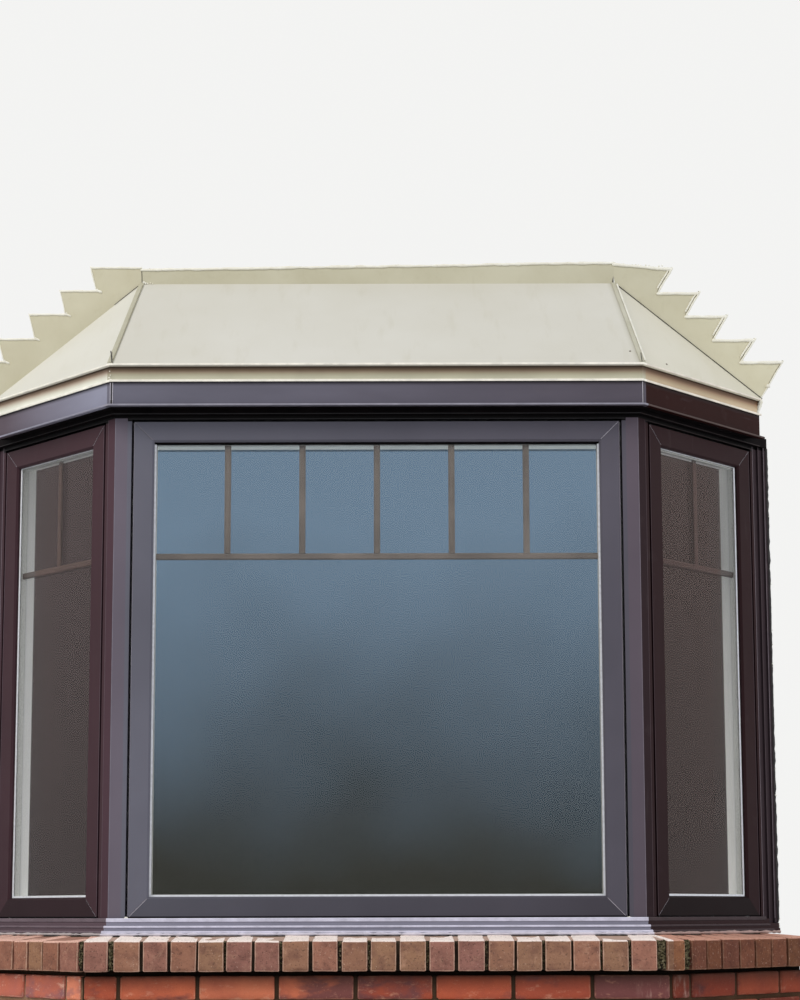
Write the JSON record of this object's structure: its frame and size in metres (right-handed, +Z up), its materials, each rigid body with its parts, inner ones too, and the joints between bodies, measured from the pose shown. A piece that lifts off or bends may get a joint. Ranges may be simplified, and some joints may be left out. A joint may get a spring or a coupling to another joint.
{
  "type": "bay window",
  "caption": "Canted bay window: fixed double-glazed units in brown frames on a brick base with a brick-on-edge sill, under a hipped sheet-metal roof with stepped flashings to the house wall.",
  "frame": {"origin": "on the ground, in the plane of the house wall's face, under the middle of the bay", "axes": "+Z up; +Y into the house, so the bay stands out towards -Y; +X to the right as seen from outside"},
  "size_m": [2.46, 0.566, 3.1695],
  "materials": {
    "red_brick": "fired clay facing brick, rough, with sandy mortar",
    "sill_brick": "tan and brown brick on edge, weathered, with sandy mortar",
    "brown_frame": "dark brown factory paint, satin",
    "brown_metal": "dark brown coated sheet, satin",
    "cream_metal": "cream coated sheet, matt",
    "flashing_metal": "cream coated sheet with sealant at its edges",
    "glazing": "clear double glazing",
    "spacer_bar": "pale spacer bar",
    "white_board": "white paint",
    "timber": "bare sawn softwood"
  },
  "bodies": {
    "root": {"base_wall_front": "red_brick", "base_wall_left": "red_brick", "base_wall_right": "red_brick", "rowlock_sill_front": "sill_brick", "rowlock_sill_left": "sill_brick", "rowlock_sill_right": "sill_brick", "seat_board": "white_board", "head_board": "white_board", "frame_front": "brown_frame", "frame_left": "brown_frame", "frame_right": "brown_frame", "sash_front": "brown_frame", "sash_left": "brown_frame", "sash_right": "brown_frame", "glass_front": "glazing", "glass_left": "glazing", "glass_right": "glazing", "glass_spacers": "spacer_bar", "corner_post_left": "brown_frame", "corner_post_right": "brown_frame", "wall_jamb_left": "brown_frame", "wall_jamb_right": "brown_frame", "sill_nosing_front": "brown_metal", "sill_nosing_left": "brown_metal", "sill_nosing_right": "brown_metal", "head_trim_front": "brown_frame", "head_trim_left": "brown_frame", "head_trim_right": "brown_frame", "fascia_front": "brown_metal", "fascia_left": "brown_metal", "fascia_right": "brown_metal", "eave_band_front": "cream_metal", "eave_band_left": "cream_metal", "eave_band_right": "cream_metal", "roof_panel_front": "cream_metal", "roof_panel_left": "cream_metal", "roof_panel_right": "cream_metal", "apron_flashing": "flashing_metal", "step_flashing_left": "flashing_metal", "step_flashing_right": "flashing_metal", "roof_curb": "timber", "roof_ledger": "timber", "roof_ribs": "timber", "hip_caps": "cream_metal", "room_stops": "white_board"}
  },
  "joints": []
}
